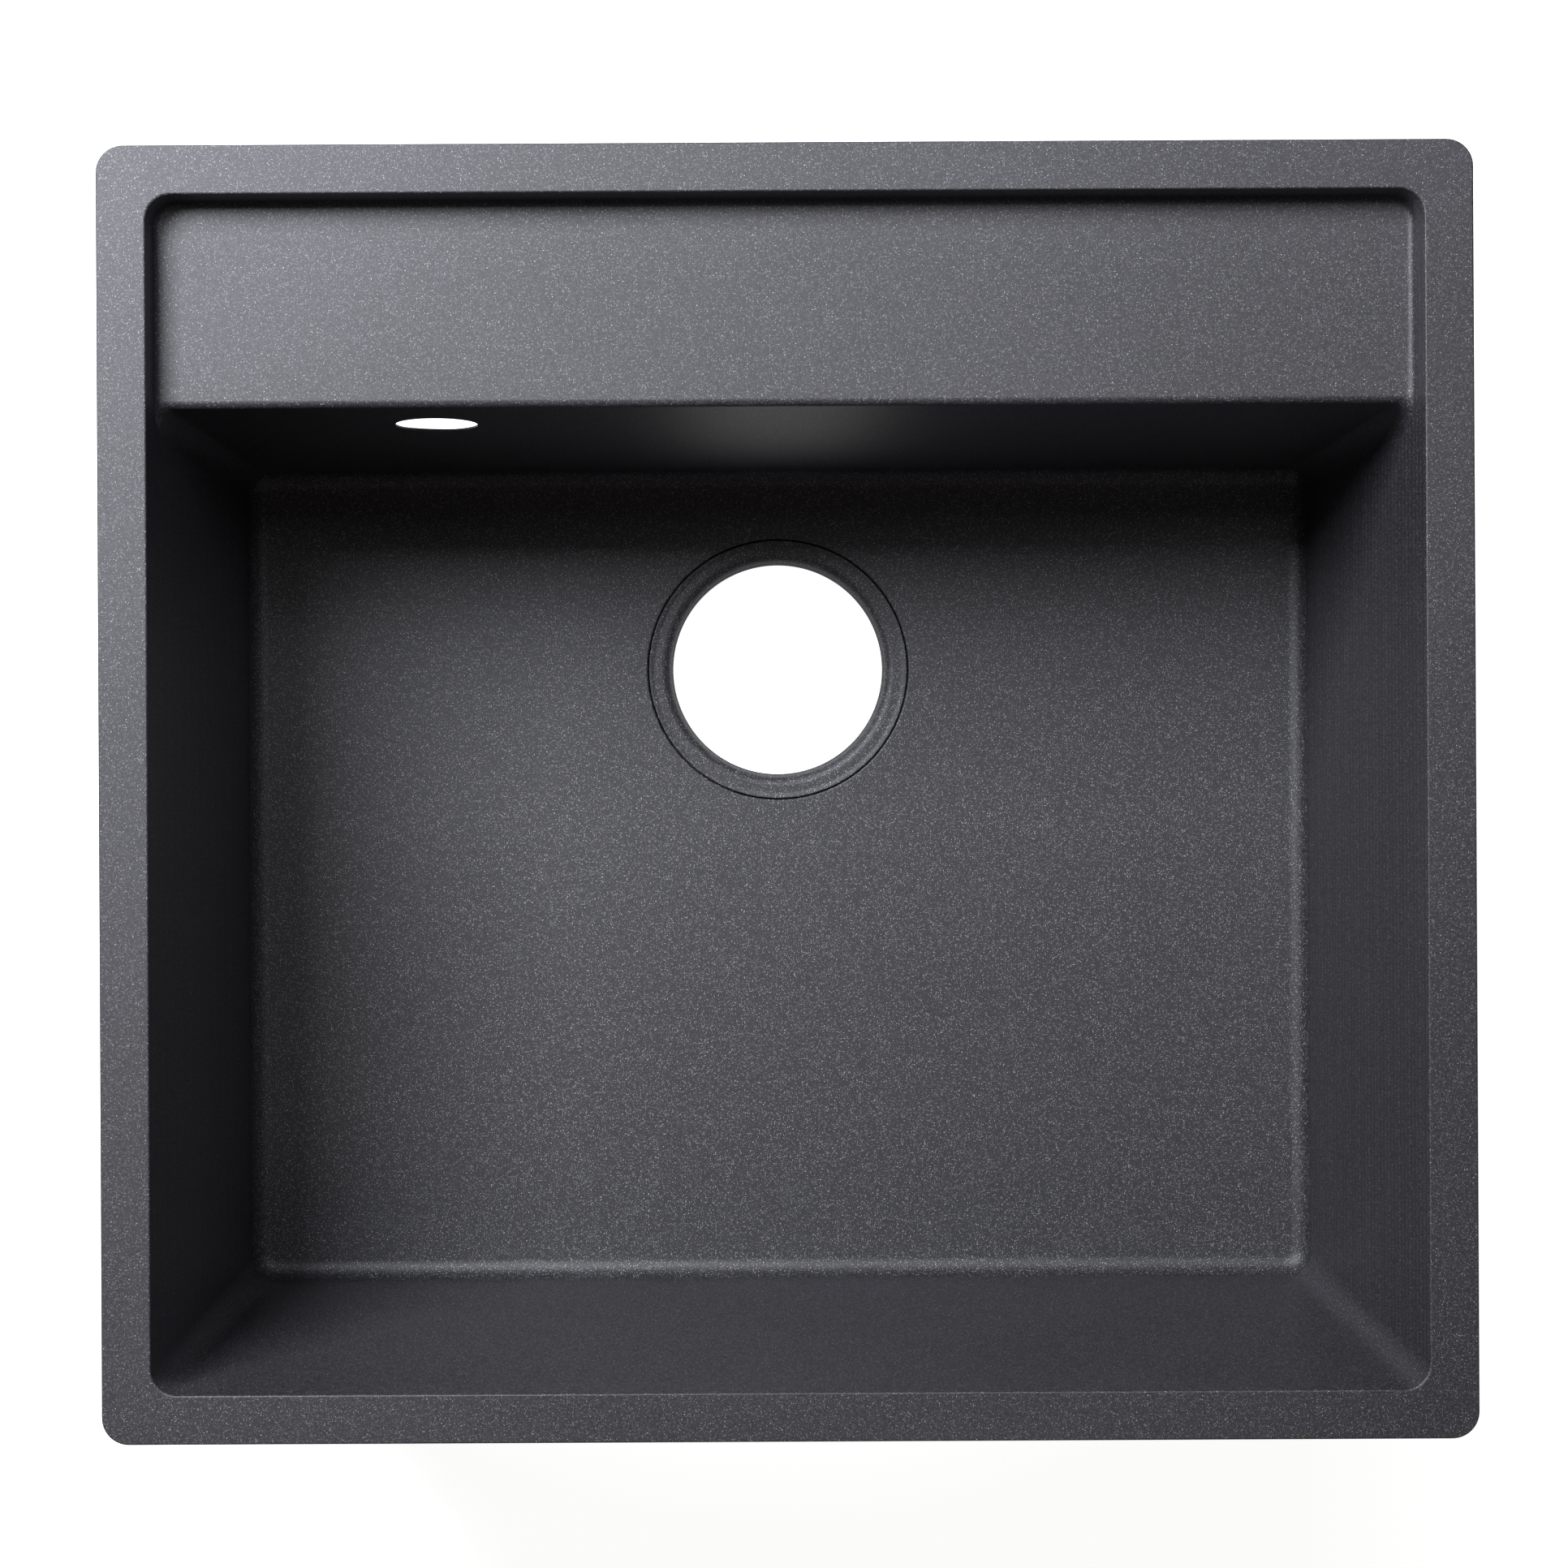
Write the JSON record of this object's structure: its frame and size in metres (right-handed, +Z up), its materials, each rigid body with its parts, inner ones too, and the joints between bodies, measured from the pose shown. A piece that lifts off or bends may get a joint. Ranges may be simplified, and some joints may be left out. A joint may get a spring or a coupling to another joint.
{
  "type": "composite kitchen sink",
  "caption": "Square-cornered inset kitchen sink in speckled composite: deep bowl, sunken tap ledge, open waste and overflow holes, screw clamps under the rim.",
  "frame": {"origin": "centre of the rim's outline, on the plane that the underside rests on", "axes": "+X to the right and +Y towards the tap ledge, as seen by someone at the sink; +Z up"},
  "size_m": [0.53, 0.5, 0.212],
  "materials": {
    "composite": "fine-grained matt with pale specks",
    "seal": "closed-cell foam, matt",
    "insert_brass": "turned",
    "claw_steel": "zinc plated",
    "screw_steel": "zinc plated"
  },
  "bodies": {
    "sink": {"bowl": "composite", "outlet_ring": "composite", "rim_seal": "seal", "threaded_inserts": "insert_brass"},
    "clamp_1": {"washer_1": "screw_steel"},
    "claw_1": {"claw_1": "claw_steel"},
    "screw_1": {"clamp_screw_1": "screw_steel"},
    "clamp_2": {"washer_2": "screw_steel"},
    "claw_2": {"claw_2": "claw_steel"},
    "screw_2": {"clamp_screw_2": "screw_steel"},
    "clamp_3": {"washer_3": "screw_steel"},
    "claw_3": {"claw_3": "claw_steel"},
    "screw_3": {"clamp_screw_3": "screw_steel"},
    "clamp_4": {"washer_4": "screw_steel"},
    "claw_4": {"claw_4": "claw_steel"},
    "screw_4": {"clamp_screw_4": "screw_steel"},
    "clamp_5": {"washer_5": "screw_steel"},
    "claw_5": {"claw_5": "claw_steel"},
    "screw_5": {"clamp_screw_5": "screw_steel"},
    "clamp_6": {"washer_6": "screw_steel"},
    "claw_6": {"claw_6": "claw_steel"},
    "screw_6": {"clamp_screw_6": "screw_steel"},
    "clamp_7": {"washer_7": "screw_steel"},
    "claw_7": {"claw_7": "claw_steel"},
    "screw_7": {"clamp_screw_7": "screw_steel"},
    "clamp_8": {"washer_8": "screw_steel"},
    "claw_8": {"claw_8": "claw_steel"},
    "screw_8": {"clamp_screw_8": "screw_steel"}
  },
  "joints": [
    {"name": "clamp_1_lift", "type": "slide", "parent": "sink", "child": "clamp_1", "axis": [0, 0, 1], "range_m": [0, 0.017]},
    {"name": "claw_1_swing", "type": "hinge", "parent": "clamp_1", "child": "claw_1", "pos_m": [0.25418, -0.14, 0.14], "axis": [0, 0, 1], "range_deg": [0, 90]},
    {"name": "screw_1_turn", "type": "hinge", "parent": "clamp_1", "child": "screw_1", "pos_m": [0.25418, -0.14, 0.14], "axis": [0, 0, 1], "range_deg": [0, 8743]},
    {"name": "clamp_2_lift", "type": "slide", "parent": "sink", "child": "clamp_2", "axis": [0, 0, 1], "range_m": [0, 0.017]},
    {"name": "claw_2_swing", "type": "hinge", "parent": "clamp_2", "child": "claw_2", "pos_m": [0.25418, 0.09, 0.14], "axis": [0, 0, 1], "range_deg": [0, 90]},
    {"name": "screw_2_turn", "type": "hinge", "parent": "clamp_2", "child": "screw_2", "pos_m": [0.25418, 0.09, 0.14], "axis": [0, 0, 1], "range_deg": [0, 8743]},
    {"name": "clamp_3_lift", "type": "slide", "parent": "sink", "child": "clamp_3", "axis": [0, 0, 1], "range_m": [0, 0.017]},
    {"name": "claw_3_swing", "type": "hinge", "parent": "clamp_3", "child": "claw_3", "pos_m": [0.095, 0.23918, 0.14], "axis": [0, 0, 1], "range_deg": [0, 90]},
    {"name": "screw_3_turn", "type": "hinge", "parent": "clamp_3", "child": "screw_3", "pos_m": [0.095, 0.23918, 0.14], "axis": [0, 0, 1], "range_deg": [0, 8743]},
    {"name": "clamp_4_lift", "type": "slide", "parent": "sink", "child": "clamp_4", "axis": [0, 0, 1], "range_m": [0, 0.017]},
    {"name": "claw_4_swing", "type": "hinge", "parent": "clamp_4", "child": "claw_4", "pos_m": [-0.095, 0.23918, 0.14], "axis": [0, 0, 1], "range_deg": [0, 90]},
    {"name": "screw_4_turn", "type": "hinge", "parent": "clamp_4", "child": "screw_4", "pos_m": [-0.095, 0.23918, 0.14], "axis": [0, 0, 1], "range_deg": [0, 8743]},
    {"name": "clamp_5_lift", "type": "slide", "parent": "sink", "child": "clamp_5", "axis": [0, 0, 1], "range_m": [0, 0.017]},
    {"name": "claw_5_swing", "type": "hinge", "parent": "clamp_5", "child": "claw_5", "pos_m": [-0.25418, 0.09, 0.14], "axis": [0, 0, 1], "range_deg": [0, 90]},
    {"name": "screw_5_turn", "type": "hinge", "parent": "clamp_5", "child": "screw_5", "pos_m": [-0.25418, 0.09, 0.14], "axis": [0, 0, 1], "range_deg": [0, 8743]},
    {"name": "clamp_6_lift", "type": "slide", "parent": "sink", "child": "clamp_6", "axis": [0, 0, 1], "range_m": [0, 0.017]},
    {"name": "claw_6_swing", "type": "hinge", "parent": "clamp_6", "child": "claw_6", "pos_m": [-0.25418, -0.14, 0.14], "axis": [0, 0, 1], "range_deg": [0, 90]},
    {"name": "screw_6_turn", "type": "hinge", "parent": "clamp_6", "child": "screw_6", "pos_m": [-0.25418, -0.14, 0.14], "axis": [0, 0, 1], "range_deg": [0, 8743]},
    {"name": "clamp_7_lift", "type": "slide", "parent": "sink", "child": "clamp_7", "axis": [0, 0, 1], "range_m": [0, 0.017]},
    {"name": "claw_7_swing", "type": "hinge", "parent": "clamp_7", "child": "claw_7", "pos_m": [-0.15, -0.23918, 0.14], "axis": [0, 0, 1], "range_deg": [0, 90]},
    {"name": "screw_7_turn", "type": "hinge", "parent": "clamp_7", "child": "screw_7", "pos_m": [-0.15, -0.23918, 0.14], "axis": [0, 0, 1], "range_deg": [0, 8743]},
    {"name": "clamp_8_lift", "type": "slide", "parent": "sink", "child": "clamp_8", "axis": [0, 0, 1], "range_m": [0, 0.017]},
    {"name": "claw_8_swing", "type": "hinge", "parent": "clamp_8", "child": "claw_8", "pos_m": [0.15, -0.23918, 0.14], "axis": [0, 0, 1], "range_deg": [0, 90]},
    {"name": "screw_8_turn", "type": "hinge", "parent": "clamp_8", "child": "screw_8", "pos_m": [0.15, -0.23918, 0.14], "axis": [0, 0, 1], "range_deg": [0, 8743]}
  ],
  "couplings": [
    {"joint": "screw_1_turn", "follows": "clamp_1_lift", "rad_per_m": 8976},
    {"joint": "screw_2_turn", "follows": "clamp_2_lift", "rad_per_m": 8976},
    {"joint": "screw_3_turn", "follows": "clamp_3_lift", "rad_per_m": 8976},
    {"joint": "screw_4_turn", "follows": "clamp_4_lift", "rad_per_m": 8976},
    {"joint": "screw_5_turn", "follows": "clamp_5_lift", "rad_per_m": 8976},
    {"joint": "screw_6_turn", "follows": "clamp_6_lift", "rad_per_m": 8976},
    {"joint": "screw_7_turn", "follows": "clamp_7_lift", "rad_per_m": 8976},
    {"joint": "screw_8_turn", "follows": "clamp_8_lift", "rad_per_m": 8976}
  ]
}
